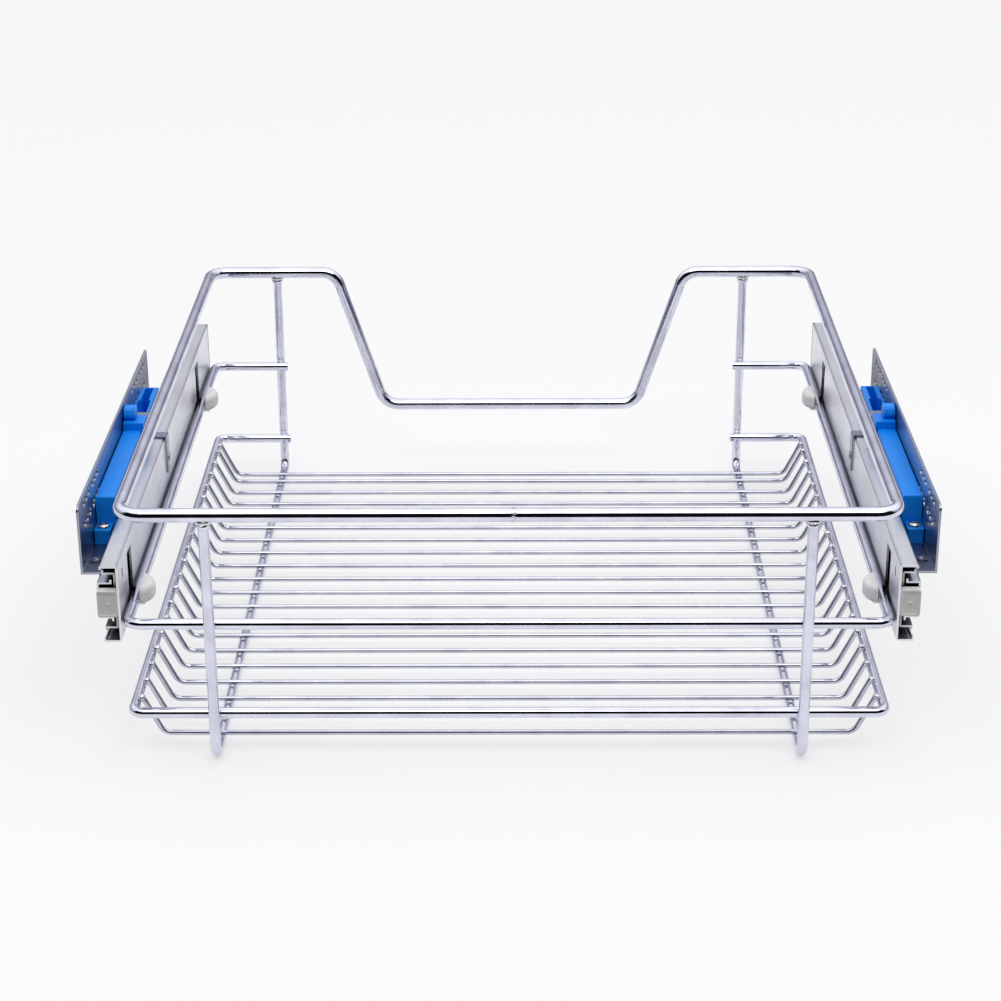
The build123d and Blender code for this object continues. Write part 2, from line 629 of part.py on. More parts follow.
# Wall bracket
hole_ys = [bracket_front_y + offset for offset in HOLE_OFFSETS]
hole_ys += [bracket_rear_y - offset for offset in HOLE_OFFSETS]
plate_top_z = SHELF_Z + PLATE_HEIGHT
with BuildPart() as bracket_right:
    with BuildSketch(section_plane(bracket_front_y)) as bracket_section:
        with BuildLine():
            Polyline(
                (plate_x - SHEET, plate_top_z), (plate_x, plate_top_z),
                (plate_x, SHELF_Z - SHEET), (flange_x + SHEET, SHELF_Z - SHEET),
                (flange_x + SHEET, SHELF_Z - FLANGE_DROP), (flange_x, SHELF_Z - FLANGE_DROP),
                (flange_x, SHELF_Z), (plate_x - SHEET, SHELF_Z),
                close=True,
            )
        make_face()
        fillet(
            [v for v in bracket_section.vertices()
             if v.Z > SHELF_Z - 2 * SHEET and v.Z < SHELF_Z + SHEET
             and (v.X > plate_x - SHEET / 2 or v.X < flange_x + SHEET / 2)],
            radius=BRACKET_BEND_R,
        )
    extrude(amount=-BRACKET_LENGTH)
    fillet(
        bracket_right.edges().filter_by(Axis.X).group_by(Axis.Z)[-1],
        radius=PLATE_CORNER_R,
    )
    with BuildSketch(side_plane(plate_x - 2 * SHEET)):
        with Locations(*[(y, plate_top_z - drop) for y in hole_ys for drop in HOLE_DROPS]):
            Circle(HOLE_D / 2)
        with Locations((bracket_front_y + PILOT_OFFSET, plate_top_z - PILOT_DROP)):
            Circle(PILOT_D / 2)
    extrude(amount=3 * SHEET, mode=Mode.SUBTRACT)
    with BuildSketch(side_plane(flange_x - SHEET)):
        with Locations(*[(rivet_y, rivet_z) for rivet_y in rivet_ys]):
            Circle(RIVET_D / 2)
    extrude(amount=3 * SHEET, mode=Mode.SUBTRACT)
    eyelet_xy = (plate_x - EYELET_FROM_PLATE, bracket_front_y + EYELET_OFFSET)
    with BuildSketch(Plane.XY.offset(SHELF_Z)):
        with Locations(eyelet_xy):
            Circle(EYELET_D / 2 + EYELET_RIM)
    extrude(amount=EYELET_HEIGHT)
    with BuildSketch(Plane.XY.offset(SHELF_Z - 2 * SHEET)):
        with Locations(eyelet_xy):
            Circle(EYELET_D / 2)
        with Locations(screw_xy):
            Circle(SCREW_D / 2)
    extrude(amount=4 * SHEET, mode=Mode.SUBTRACT)
bracket_right.part.label = "bracket_right"

with BuildPart() as bracket_left:
    mirror(bracket_right.part, about=Plane.YZ)
bracket_left.part.label = "bracket_left"

with BuildPart() as rivets_right:
    for rivet_y in rivet_ys:
        with BuildSketch(side_plane(flange_x - SHEET - RIVET_HEAD)):
            with Locations((rivet_y, rivet_z)):
                Circle(RIVET_HEAD_D / 2)
        extrude(amount=RIVET_HEAD)
        with BuildSketch(side_plane(flange_x - SHEET)):
            with Locations((rivet_y, rivet_z)):
                Circle(RIVET_D / 2)
        extrude(amount=2 * SHEET)
        with BuildSketch(side_plane(flange_x + SHEET)):
            with Locations((rivet_y, rivet_z)):
                Circle(RIVET_HEAD_D / 2)
        extrude(amount=RIVET_HEAD)
    fillet(
        rivets_right.edges().filter_by(GeomType.CIRCLE).group_by(Axis.X)[-1],
        radius=RIVET_HEAD / 2,
    )
rivets_right.part.label = "rivets_right"

with BuildPart() as rivets_left:
    mirror(rivets_right.part, about=Plane.YZ)
rivets_left.part.label = "rivets_left"

# Soft-close damper: housing, catch and fixing screw
foot_width = damper_outer_x - foot_inner_x
foot_mid_x = (damper_outer_x + foot_inner_x) / 2
damper_mid_x = (damper_inner_x + damper_outer_x) / 2
step_z = SHELF_Z + DAMPER_STEP
foot_top_z = SHELF_Z + FOOT_HEIGHT
trough_floor_z = SHELF_Z + TROUGH_FLOOR
track_top_z = damper_top_z - TRACK_DROP
with BuildPart() as damper_housing_right:
    with BuildSketch(Plane.XY.offset(SHELF_Z)):
        with Locations((foot_mid_x, (foot_front_y + trough_rear_y) / 2)):
            Rectangle(foot_width, trough_rear_y - foot_front_y)
    extrude(amount=DAMPER_STEP)
    with BuildSketch(Plane.XY.offset(step_z)):
        with Locations((damper_mid_x, body_front_y + BODY_LENGTH / 2)):
            Rectangle(DAMPER_WIDTH, BODY_LENGTH)
        with Locations((damper_mid_x, trough_front_y + TROUGH_LENGTH / 2)):
            Rectangle(DAMPER_WIDTH, TROUGH_LENGTH)
    extrude(amount=damper_top_z - step_z)
    with BuildSketch(Plane.XY.offset(step_z)):
        with Locations((foot_mid_x, foot_front_y + FOOT_LENGTH / 2)):
            Rectangle(foot_width, FOOT_LENGTH)
    extrude(amount=foot_top_z - step_z)
    fillet(
        damper_housing_right.faces().sort_by(Axis.Y)[0].edges().filter_by(Axis.Z),
        radius=DAMPER_EDGE_R,
    )
    fillet(damper_housing_right.faces().sort_by(Axis.Z)[-1].edges(), radius=DAMPER_EDGE_R)
    fillet(damper_housing_right.faces().sort_by(Axis.Z)[-1].edges(), radius=DAMPER_EDGE_R)
    with BuildSketch(Plane.XY.offset(trough_floor_z)):
        with Locations((damper_mid_x, trough_front_y + TROUGH_STEP / 2)):
            Rectangle(DAMPER_WIDTH - 2 * TROUGH_WALL, TROUGH_STEP)
        with Locations((
            damper_mid_x,
            (trough_front_y + TROUGH_STEP + trough_rear_y - TROUGH_WALL) / 2,
        )):
            Rectangle(
                DAMPER_WIDTH - 2 * TROUGH_THICK_WALL,
                TROUGH_LENGTH - TROUGH_STEP - TROUGH_WALL,
            )
    extrude(amount=damper_top_z - trough_floor_z, mode=Mode.SUBTRACT)
    with BuildSketch(side_plane(damper_inner_x)):
        with Locations((body_rear_y - TRACK_LENGTH / 2, track_top_z - TRACK_HEIGHT / 2)):
            Rectangle(TRACK_LENGTH, TRACK_HEIGHT)
    extrude(amount=TRACK_DEPTH, mode=Mode.SUBTRACT)
    with BuildSketch(Plane.XY.offset(SHELF_Z)):
        with Locations(screw_xy):
            Circle(SCREW_D / 2)
    extrude(amount=FOOT_HEIGHT, mode=Mode.SUBTRACT)
damper_housing_right.part.label = "damper_housing_right"

with BuildPart() as damper_housing_left:
    mirror(damper_housing_right.part, about=Plane.YZ)
damper_housing_left.part.label = "damper_housing_left"

catch_bottom_z = damper_top_z + CATCH_GAP
bridge_top_z = catch_bottom_z + CATCH_BRIDGE
leg_outer_x = damper_inner_x - CATCH_GAP
tongue_end_x = damper_inner_x + TRACK_DEPTH - CATCH_GAP
tongue_z = (track_top_z - TRACK_HEIGHT + CATCH_GAP, track_top_z - CATCH_GAP)
finger_outer_x = damper_outer_x - CATCH_GAP
with BuildPart() as catch_right:
    with BuildSketch(section_plane(catch_front_y)):
        with BuildLine():
            Polyline(
                (leg_outer_x - CATCH_LEG, tongue_z[0]), (tongue_end_x, tongue_z[0]),
                (tongue_end_x, tongue_z[1]), (leg_outer_x, tongue_z[1]),
                (leg_outer_x, catch_bottom_z), (finger_outer_x, catch_bottom_z),
                (finger_outer_x, bridge_top_z), (leg_outer_x - CATCH_LEG, bridge_top_z),
                close=True,
            )
        make_face()
    extrude(amount=-CATCH_LENGTH)
    with BuildSketch(side_plane(finger_outer_x - FINGER_WIDTH)) as finger_section:
        with BuildLine():
            Polyline(
                (catch_front_y + FINGER_FRONT_INSET, bridge_top_z),
                (catch_rear_y, bridge_top_z), (catch_rear_y, bridge_top_z + FINGER_HEIGHT),
                (catch_front_y + FINGER_FRONT_INSET + FINGER_SLOPE, bridge_top_z + FINGER_HEIGHT),
                close=True,
            )
        make_face()
        fillet(finger_section.vertices().group_by(Axis.Z)[-1], radius=FINGER_R)
    extrude(amount=FINGER_WIDTH)
catch_right.part.label = "catch_right"

with BuildPart() as catch_left:
    mirror(catch_right.part, about=Plane.YZ)
catch_left.part.label = "catch_left"

with BuildPart() as damper_screw_right:
    with BuildSketch(Plane.XY.offset(SHELF_Z - SHEET)):
        with Locations(screw_xy):
            Circle(SCREW_D / 2)
    extrude(amount=FOOT_HEIGHT + SHEET)
    with BuildSketch(Plane.XY.offset(foot_top_z)):
        with Locations(screw_xy):
            Circle(SCREW_HEAD_D / 2)
    extrude(amount=SCREW_HEAD)
    fillet(
        damper_screw_right.edges().filter_by(GeomType.CIRCLE).group_by(Axis.Z)[-1],
        radius=1.0,
    )
damper_screw_right.part.label = "damper_screw_right"

with BuildPart() as damper_screw_left:
    mirror(damper_screw_right.part, about=Plane.YZ)
damper_screw_left.part.label = "damper_screw_left"

# One STEP file per piece
pieces = (
    top_rail, middle_rail, lower_rail, u_wire_left, u_wire_right, floor_wires,
    drawer_rail_left, drawer_rail_right, middle_member_left, middle_member_right,
    cabinet_member_left, cabinet_member_right, outer_cage_left, outer_cage_right,
    inner_cage_left, inner_cage_right, outer_balls_left, outer_balls_right,
    inner_balls_left, inner_balls_right, clip_front_left, clip_front_right,
    clip_rear_left, clip_rear_right, buffer_left, buffer_right, rear_stop_left,
    rear_stop_right, catch_strip_left, catch_strip_right, bracket_left, bracket_right,
    rivets_left, rivets_right, damper_housing_left, damper_housing_right,
    catch_left, catch_right, damper_screw_left, damper_screw_right,
)
os.makedirs("parts", exist_ok=True)
for piece in pieces:
    export_step(piece.part, f"parts/{piece.part.label}.step")
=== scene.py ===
import bpy
import bmesh
import math
import random
from mathutils import Matrix, Vector, noise


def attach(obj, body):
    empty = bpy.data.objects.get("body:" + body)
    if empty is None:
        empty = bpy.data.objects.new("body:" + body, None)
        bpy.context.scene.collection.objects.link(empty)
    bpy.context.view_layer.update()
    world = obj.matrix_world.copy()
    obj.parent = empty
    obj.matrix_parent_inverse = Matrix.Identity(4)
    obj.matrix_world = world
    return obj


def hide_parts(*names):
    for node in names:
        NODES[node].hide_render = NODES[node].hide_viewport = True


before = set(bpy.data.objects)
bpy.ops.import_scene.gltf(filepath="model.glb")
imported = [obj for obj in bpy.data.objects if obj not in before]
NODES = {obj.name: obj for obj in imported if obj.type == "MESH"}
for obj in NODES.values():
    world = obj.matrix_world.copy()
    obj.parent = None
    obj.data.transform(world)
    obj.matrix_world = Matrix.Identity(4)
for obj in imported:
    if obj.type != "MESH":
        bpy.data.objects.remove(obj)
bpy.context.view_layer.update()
MM = 0.001
SIDES = (("left", -1), ("right", 1))

FLOOR_TONE = (0.355, 0.355, 0.36)
FLOOR_GLOW = 0.575
FLOOR_FRONT_Y, FLOOR_REACH, FLOOR_Z = -0.66, 12.0, -0.0002
SKY_SEEN = (0.95, 0.95, 0.955)
LAMPS = (
    # name, place, width, depth, watts
    ("softbox", (-0.5, -0.6, 2.4), 2.4, 1.6, 1.0),
    ("fill", (0.3, -1.6, 2.4), 2.6, 0.7, 16.0),
)
LAMP_AIM = (0.0, 0.0, 0.1)
CAMERA_PLACE = (4.8, -1343.0, 636.9)
CAMERA_PITCH, CAMERA_YAW, CAMERA_ROLL = 23.04, -0.44, -0.28
CAMERA_LENS = 84.87


# ---------------------------------------------------------------- materials
class Nodes:
    """A material's node tree, with short calls to add and join nodes."""

    def __init__(self, name):
        self.material = bpy.data.materials.new(name)
        self.material.use_nodes = True
        self.tree = self.material.node_tree
        self.tree.nodes.clear()
        self.out = self.tree.nodes.new("ShaderNodeOutputMaterial")
        self.shader = self.tree.nodes.new("ShaderNodeBsdfPrincipled")
        self.tree.links.new(self.shader.outputs[0], self.out.inputs["Surface"])
        self.coords = self.tree.nodes.new("ShaderNodeTexCoord").outputs["Object"]

    def add(self, kind, **values):
        node = self.tree.nodes.new(kind)
        for key, value in values.items():
            if hasattr(node, key):
                setattr(node, key, value)
            else:
                node.inputs[key.replace("_", " ")].default_value = value
        return node

    def join(self, source, target):
        self.tree.links.new(source, target)

    def set(self, **values):
        for key, value in values.items():
            self.shader.inputs[key.replace("_", " ")].default_value = value

    def stretched(self, scale):
        mapping = self.add("ShaderNodeMapping")
        mapping.inputs["Scale"].default_value = scale
        self.join(self.coords, mapping.inputs["Vector"])
        return mapping.outputs["Vector"]

    def noise(self, scale, detail=3.0, stretch=(1, 1, 1), roughness=0.55):
        node = self.add("ShaderNodeTexNoise")
        node.inputs["Scale"].default_value = scale
        node.inputs["Detail"].default_value = detail
        node.inputs["Roughness"].default_value = roughness
        self.join(self.stretched(stretch), node.inputs["Vector"])
        return node.outputs["Fac"]

    def ramp(self, fac, stops):
        node = self.add("ShaderNodeValToRGB")
        marks = node.color_ramp.elements
        while len(marks) < len(stops):
            marks.new(0.5)
        for mark, (place, colour) in zip(marks, stops):
            mark.position = place
            mark.color = (*colour, 1.0) if len(colour) == 3 else colour
        self.join(fac, node.inputs["Fac"])
        return node.outputs["Color"]

    def span(self, fac, low, high, start=0.3, end=0.7):
        node = self.add("ShaderNodeMapRange")
        for key, value in (("From Min", start), ("From Max", end), ("To Min", low), ("To Max", high)):
            node.inputs[key].default_value = value
        self.join(fac, node.inputs["Value"])
        return node.outputs["Result"]

    def mix(self, fac, one, two):
        node = self.tree.nodes.new("ShaderNodeMix")
        node.data_type = "RGBA"
        for socket, value in ((0, fac), (6, one), (7, two)):
            if isinstance(value, (tuple, list)):
                node.inputs[socket].default_value = (*value, 1.0)
            elif isinstance(value, float):
                node.inputs[socket].default_value = value
            else:
                self.join(value, node.inputs[socket])
        return node.outputs[2]

    def multiply(self, fac, one, two):
        node = self.tree.nodes.new("ShaderNodeMix")
        node.data_type = "RGBA"
        node.blend_type = "MULTIPLY"
        node.inputs[0].default_value = fac
        self.join(one, node.inputs[6])
        self.join(two, node.inputs[7])
        return node.outputs[2]

    def hollow_shade(self, distance, low, high):
        """1 deep in a hollow, 0 on open faces."""
        # Ambient occlusion mask, used to paint shade into recesses.
        node = self.tree.nodes.new("ShaderNodeAmbientOcclusion")
        node.inputs["Distance"].default_value = distance
        node.samples = 24
        return self.span(node.outputs["AO"], 1.0, 0.0, low, high)

    def bump(self, height, strength, distance):
        node = self.add("ShaderNodeBump")
        node.inputs["Strength"].default_value = strength
        node.inputs["Distance"].default_value = distance
        self.join(height, node.inputs["Height"])
        self.join(node.outputs["Normal"], self.shader.inputs["Normal"])

    def edges(self, width):
        """1 on sharp edges, 0 on open faces."""
        bevel = self.add("ShaderNodeBevel", samples=4)
        bevel.inputs["Radius"].default_value = width
        geometry = self.add("ShaderNodeNewGeometry")
        dot = self.tree.nodes.new("ShaderNodeVectorMath")
        dot.operation = "DOT_PRODUCT"
        self.join(bevel.outputs["Normal"], dot.inputs[0])
        self.join(geometry.outputs["Normal"], dot.inputs[1])
        return self.span(dot.outputs["Value"], 1.0, 0.0, 0.8, 0.995)


def wire_plating(name, along, depth=1.0):
    """Bright nickel-chrome on drawn wire: faint draw lines, clouds in the plating, small pits."""
    n = Nodes(name)
    clouds = n.noise(55.0, 4.0)
    lines = n.noise(900.0, 2.0, along)
    pits = n.noise(1600.0, 1.0)
    tones = [(0.30, (0.58, 0.58, 0.68)), (0.55, (0.70, 0.71, 0.82)), (0.8, (0.82, 0.83, 0.92))]
    # A depth below 1 makes a darker copy of the plating: painted shade.
    tint = n.ramp(clouds, [(place, tuple(c * depth for c in tone)) for place, tone in tones])
    speck = n.ramp(pits, [(0.24, (0.30, 0.30, 0.34)), (0.30, (1, 1, 1))])
    n.join(n.multiply(0.4, tint, speck), n.shader.inputs["Base Color"])
    n.set(Metallic=1.0)
    n.join(n.span(clouds, 0.04, 0.13), n.shader.inputs["Roughness"])
    n.bump(lines, 0.06, 0.00012)
    return n.material


def strip_zinc(name, low, high, rough, edge_highlight, grain_bump=0.05, hollow_shade=(0.009, 0.12, 0.55)):
    """Zinc plate on rolled strip: long rolling lines, soft clouds, sharp edges painted lighter as a
    painted highlight, recesses painted dark as painted shade.
    """
    n = Nodes(name)
    clouds = n.noise(24.0, 5.0)
    grain = n.noise(520.0, 3.0, (1, 0.02, 1))
    spots = n.noise(260.0, 2.0)
    base = n.ramp(clouds, [(0.3, low), (0.7, high)])
    # Sharp edges are mixed toward a lighter colour: painted edge highlight.
    colour = n.mix(n.edges(0.0005), base, edge_highlight)
    if hollow_shade:
        # Recesses are mixed toward near black by ambient occlusion: painted shade.
        colour = n.mix(n.hollow_shade(*hollow_shade), colour, (0.01, 0.01, 0.012))
    speck = n.ramp(spots, [(0.24, (0.70, 0.70, 0.71)), (0.31, (1, 1, 1))])
    n.join(n.multiply(0.5, colour, speck), n.shader.inputs["Base Color"])
    n.set(Metallic=1.0)
    n.join(n.span(grain, rough[0], rough[1]), n.shader.inputs["Roughness"])
    n.bump(grain, grain_bump, 0.00008)
    return n.material


def moulded(name, base, edge_highlight_colour, rough, grain=420.0, strength=0.15):
    """Moulded plastic: fine spark texture, faint flow clouds, sharp edges painted a shade lighter as a
    painted highlight.
    """
    n = Nodes(name)
    flow = n.noise(35.0, 3.0, (1, 0.35, 1))
    fine = n.noise(grain * 6, 2.0)
    toned = n.ramp(flow, [(0.3, tuple(c * 0.88 for c in base)), (0.7, base)])
    # Sharp edges take the lighter colour: painted edge highlight.
    n.join(n.mix(n.edges(0.0004), toned, edge_highlight_colour), n.shader.inputs["Base Color"])
    n.join(n.span(flow, rough[0], rough[1]), n.shader.inputs["Roughness"])
    n.bump(fine, strength, 0.00005)
    return n


plating = {
    "across": wire_plating("wire_across", (0.03, 1, 1)),
    "along": wire_plating("wire_along", (1, 0.03, 1)),
    # The thin floor wires take the plating toned down to 0.80: painted shade.
    "fine": wire_plating("wire_fine_shaded", (0.03, 1, 1), 0.80),
}
# The fifth colour in each strip_zinc call is the painted edge highlight on sharp edges.
slide_zinc = strip_zinc(
    "slide_zinc", (0.66, 0.67, 0.71), (0.80, 0.81, 0.85), (0.26, 0.36), (0.92, 0.92, 0.94)
)
bracket_zinc = strip_zinc(
    "bracket_zinc", (0.24, 0.27, 0.34), (0.36, 0.39, 0.46), (0.26, 0.32), (0.92, 0.92, 0.92),
    grain_bump=0.02, hollow_shade=None
)
# The inner members get a wider, stronger occlusion darkening, which is painted shade in the slide's
# cavity.
inner_zinc = strip_zinc(
    "inner_zinc", (0.50, 0.50, 0.53), (0.64, 0.64, 0.67), (0.20, 0.32), (0.84, 0.84, 0.84),
    hollow_shade=(0.016, 0.25, 0.80)
)
ball_steel = strip_zinc(
    "ball_steel", (0.60, 0.60, 0.62), (0.72, 0.72, 0.74), (0.08, 0.14), (0.80, 0.80, 0.80)
)
# The second colour in each moulded call is the painted edge highlight on sharp edges.
blue = moulded("blue_plastic", (0.001, 0.275, 1.0), (0.05, 0.46, 1.0), (0.34, 0.46))
blue.set(Specular_IOR_Level=0.28)
white = moulded("clip_plastic", (0.92, 0.92, 0.90), (0.97, 0.97, 0.96), (0.20, 0.34), 300.0, 0.2)
white.set(Subsurface_Weight=0.5, Subsurface_Scale=0.003)
white.shader.inputs["Subsurface Radius"].default_value = (1.0, 0.95, 0.9)
grey = moulded("buffer_plastic", (0.92, 0.92, 0.90), (0.98, 0.98, 0.97), (0.26, 0.40), 500.0, 0.25)
black = moulded("stop_plastic", (0.012, 0.012, 0.014), (0.05, 0.05, 0.055), (0.35, 0.55), 400.0, 0.3)


def weld_metal():
    """Plated weld: lumpy, with painted shade in the folds and painted highlights on the crowns."""
    n = Nodes("weld_metal")
    lumps = n.noise(700.0, 4.0)
    # Colour follows the lumps: low places painted dark as painted shade, crowns painted bright as
    # painted highlights.
    tone = n.ramp(lumps, [(0.3, (0.30, 0.30, 0.36)), (0.6, (0.88, 0.88, 0.93))])
    n.join(tone, n.shader.inputs["Base Color"])
    n.set(Metallic=1.0)
    n.join(n.span(lumps, 0.10, 0.26), n.shader.inputs["Roughness"])
    n.bump(lumps, 0.55, 0.0004)
    return n.material


def screw_metal():
    """Zinc screw: mottled plate with a fine turned grain."""
    n = Nodes("screw_metal")
    rings = n.noise(900.0, 2.0)
    tone = n.ramp(rings, [(0.3, (0.60, 0.60, 0.60)), (0.7, (0.84, 0.84, 0.83))])
    n.join(tone, n.shader.inputs["Base Color"])
    n.set(Metallic=1.0)
    n.join(n.span(rings, 0.16, 0.30), n.shader.inputs["Roughness"])
    n.bump(rings, 0.2, 0.0001)
    return n.material


weld = weld_metal()
screw = screw_metal()

FINISH = {
    "top_rail": plating["across"], "middle_rail": plating["across"], "lower_rail": plating["across"],
    "u_wire": plating["along"], "floor_wires": plating["fine"], "drawer_rail": slide_zinc,
    "middle_member": inner_zinc, "cabinet_member": slide_zinc, "outer_cage": inner_zinc,
    "inner_cage": inner_zinc, "outer_balls": ball_steel, "inner_balls": ball_steel,
    "catch_strip": bracket_zinc, "bracket": bracket_zinc, "rivets": screw, "damper_screw": screw,
    "damper_housing": blue.material, "catch": blue.material, "clip_front": white.material,
    "clip_rear": white.material, "buffer": grey.material, "rear_stop": black.material,
}
for node_name, node in NODES.items():
    stem = node_name.rsplit("_", 1)[0] if node_name.endswith(("left", "right")) else node_name
    for index in range(len(node.material_slots)):
        node.material_slots[index].material = FINISH[stem]


# ---------------------------------------------------------------- mesh helpers
def piece(name, mesh, material, body):
    obj = bpy.data.objects.new(name, mesh)
    bpy.context.scene.collection.objects.link(obj)
    mesh.materials.append(material)
    for polygon in mesh.polygons:
        polygon.use_smooth = True
    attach(obj, body)
    return obj


def lump(mesh, centre, size, seed, wobble=0.16):
    """Adds one rough weld bead, an icosphere pushed about by noise."""
    made = bmesh.ops.create_icosphere(mesh, subdivisions=2, radius=1.0)
    for vert in made["verts"]:
        direction = vert.co.normalized()
        swell = 1.0 + wobble * noise.noise(direction * 2.3 + Vector((seed, seed * 0.7, seed * 1.3)))
        local = Vector((direction.x * size[0], direction.y * size[1], direction.z * size[2])) * swell
        vert.co = (Vector(centre) + local) * MM


def tube(mesh, centre, axis, radius, half, segments=28, crown=0.0):
    """Adds a short sleeve round a wire, open at the ends, crowned in the middle."""
    rows = []
    spin = Vector(axis).normalized().to_track_quat("Z", "Y").to_matrix()
    for step in (-1.0, -0.6, 0.0, 0.6, 1.0):
        r = radius + crown * (1 - step * step)
        rows.append([
            mesh.verts.new((Vector(centre) + spin @ Vector((
                r * math.cos(2 * math.pi * i / segments),
                r * math.sin(2 * math.pi * i / segments),
                step * half,
            ))) * MM)
            for i in range(segments)
        ])
    for low, high in zip(rows, rows[1:]):
        for i in range(segments):
            j = (i + 1) % segments
            mesh.faces.new((low[i], low[j], high[j], high[i]))


def finished(name, mesh):
    bmesh.ops.recalc_face_normals(mesh, faces=mesh.faces)
    data = bpy.data.meshes.new(name)
    mesh.to_mesh(data)
    mesh.free()
    return data


# ---------------------------------------------------------------- welds on the basket
random.seed(11)
TOP_Z, TOP_R = 146.9, 3.8
FRONT_Y, REAR_Y = -210.0, 210.0
RAIL_Y = 203.98
U_X, MIDDLE_Z, LOWER_X, LOWER_Z = 160.0, 80.7, 205.3, 26.9
WIRE_YS = [-190.8 + 20.1 * i for i in range(19)]
WIRE_YS.append(WIRE_YS[-1] + 12.7)
WELD_X, WELD_Z = LOWER_X - 3.1, LOWER_Z + 2.7
FOOT_WELD_Z = 6.05
BOX_INSET = 0.02

beads = bmesh.new()
for side, sign in SIDES:
    for wire_y in WIRE_YS:
        wobble = random.uniform(-0.25, 0.25)
        size = random.uniform(1.75, 2.2)
        lump(beads, (sign * WELD_X, wire_y + wobble, WELD_Z),
             (size * 1.1, size * 1.2, size), random.uniform(0, 50))
        flat = random.uniform(0.85, 1.1)
        lump(beads, (sign * U_X, wire_y + wobble, FOOT_WELD_Z),
             (2.1 * flat, 2.4 * flat, 0.8), random.uniform(0, 50))
rail_beads = bmesh.new()
for side, sign in SIDES:
    for end_y, rail_y in ((FRONT_Y, -RAIL_Y), (REAR_Y, RAIL_Y)):
        for rise, size in ((0.3, (5.0, 3.4, 2.4)), (-2.0, (3.9, 3.35, 2.5))):
            lump(rail_beads, (sign * U_X, end_y, TOP_Z - TOP_R + rise), size, random.uniform(0, 50))
        for height in (MIDDLE_Z, LOWER_Z):
            lump(rail_beads, (sign * U_X, (end_y + rail_y) / 2, height),
                 (2.9, 1.5, 2.9), random.uniform(0, 50))
piece("floor_welds", finished("floor_welds", beads), weld, "basket")
piece("rail_welds", finished("rail_welds", rail_beads), weld, "basket")

butt = bmesh.new()
tube(butt, (3.0, FRONT_Y, TOP_Z), (1, 0.0, 0.0), TOP_R + 0.02, 1.3, 36, 0.22)
lump(butt, (3.4, FRONT_Y - 2.6, TOP_Z + 2.2), (1.0, 1.2, 1.0), 4.0)
for vert in butt.verts:
    vert.co.y = max(vert.co.y, (FRONT_Y - TOP_R + BOX_INSET) * MM)
    vert.co.z = min(vert.co.z, (TOP_Z + TOP_R - BOX_INSET) * MM)
piece("butt_weld", finished("butt_weld", butt), weld, "basket")


# ---------------------------------------------------------------- screws on the damper feet
SCREW_X, SCREW_Y, SCREW_Z = 225.9, -138.5, 109.1


def pan_screw(name, centre, turn):
    """Pan head with a cross recess, and its shank down through the foot."""
    mesh = bmesh.new()
    segments, head, rise = 48, 3.5, 2.15
    shank_r, shank_depth = 1.72, 9.1
    profile = [(head, 0.0), (head, 0.75), (head * 0.93, 1.35), (head * 0.75, 1.85), (head * 0.45, rise)]
    rows = []
    for radius, height in profile:
        rows.append([
            mesh.verts.new((radius * math.cos(2 * math.pi * i / segments),
                            radius * math.sin(2 * math.pi * i / segments), height))
            for i in range(segments)
        ])
    arm_long, arm_wide, depth = 2.05, 0.52, 1.1
    outline = []
    for quarter in range(4):
        angle = quarter * math.pi / 2
        cos, sin = math.cos(angle), math.sin(angle)
        for x, y in ((arm_long, -arm_wide), (arm_long, arm_wide), (arm_wide, arm_wide)):
            outline.append((x * cos - y * sin, x * sin + y * cos))
    lip = [mesh.verts.new((x * 0.74, y * 0.74, rise)) for x, y in outline]
    floor = [mesh.verts.new((x * 0.5, y * 0.5, rise - depth)) for x, y in outline]
    for low, high in zip(rows, rows[1:]):
        for i in range(segments):
            j = (i + 1) % segments
            mesh.faces.new((low[i], low[j], high[j], high[i]))
    rim = rows[-1]
    ring_edges = [mesh.edges.get((rim[i], rim[(i + 1) % segments])) for i in range(segments)]
    lip_edges = []
    for i in range(len(lip)):
        j = (i + 1) % len(lip)
        lip_edges.append(mesh.edges.new((lip[i], lip[j])))
        mesh.faces.new((lip[i], floor[i], floor[j], lip[j]))
    mesh.faces.new(floor)
    bmesh.ops.triangle_fill(mesh, use_beauty=True, edges=ring_edges + lip_edges)
    shank = [
        [mesh.verts.new((shank_r * math.cos(2 * math.pi * i / segments),
                         shank_r * math.sin(2 * math.pi * i / segments), height))
         for i in range(segments)]
        for height in (0.0, -shank_depth)
    ]
    for i in range(segments):
        j = (i + 1) % segments
        mesh.faces.new((shank[0][i], shank[0][j], shank[1][j], shank[1][i]))
        mesh.faces.new((rows[0][i], rows[0][j], shank[0][j], shank[0][i]))
    mesh.faces.new(shank[1])
    spin = Matrix.Rotation(turn, 3, "Z")
    for vert in mesh.verts:
        vert.co = (spin @ vert.co + Vector(centre)) * MM
    obj = piece(name, finished(name, mesh), screw, "brackets")
    split = obj.modifiers.new("edge", "EDGE_SPLIT")
    split.split_angle = math.radians(38)
    return obj


for side, sign in SIDES:
    made = pan_screw(f"damper_pan_screw_{side}", (sign * SCREW_X, SCREW_Y, SCREW_Z), 0.5 * sign)
    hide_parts(f"damper_screw_{side}")


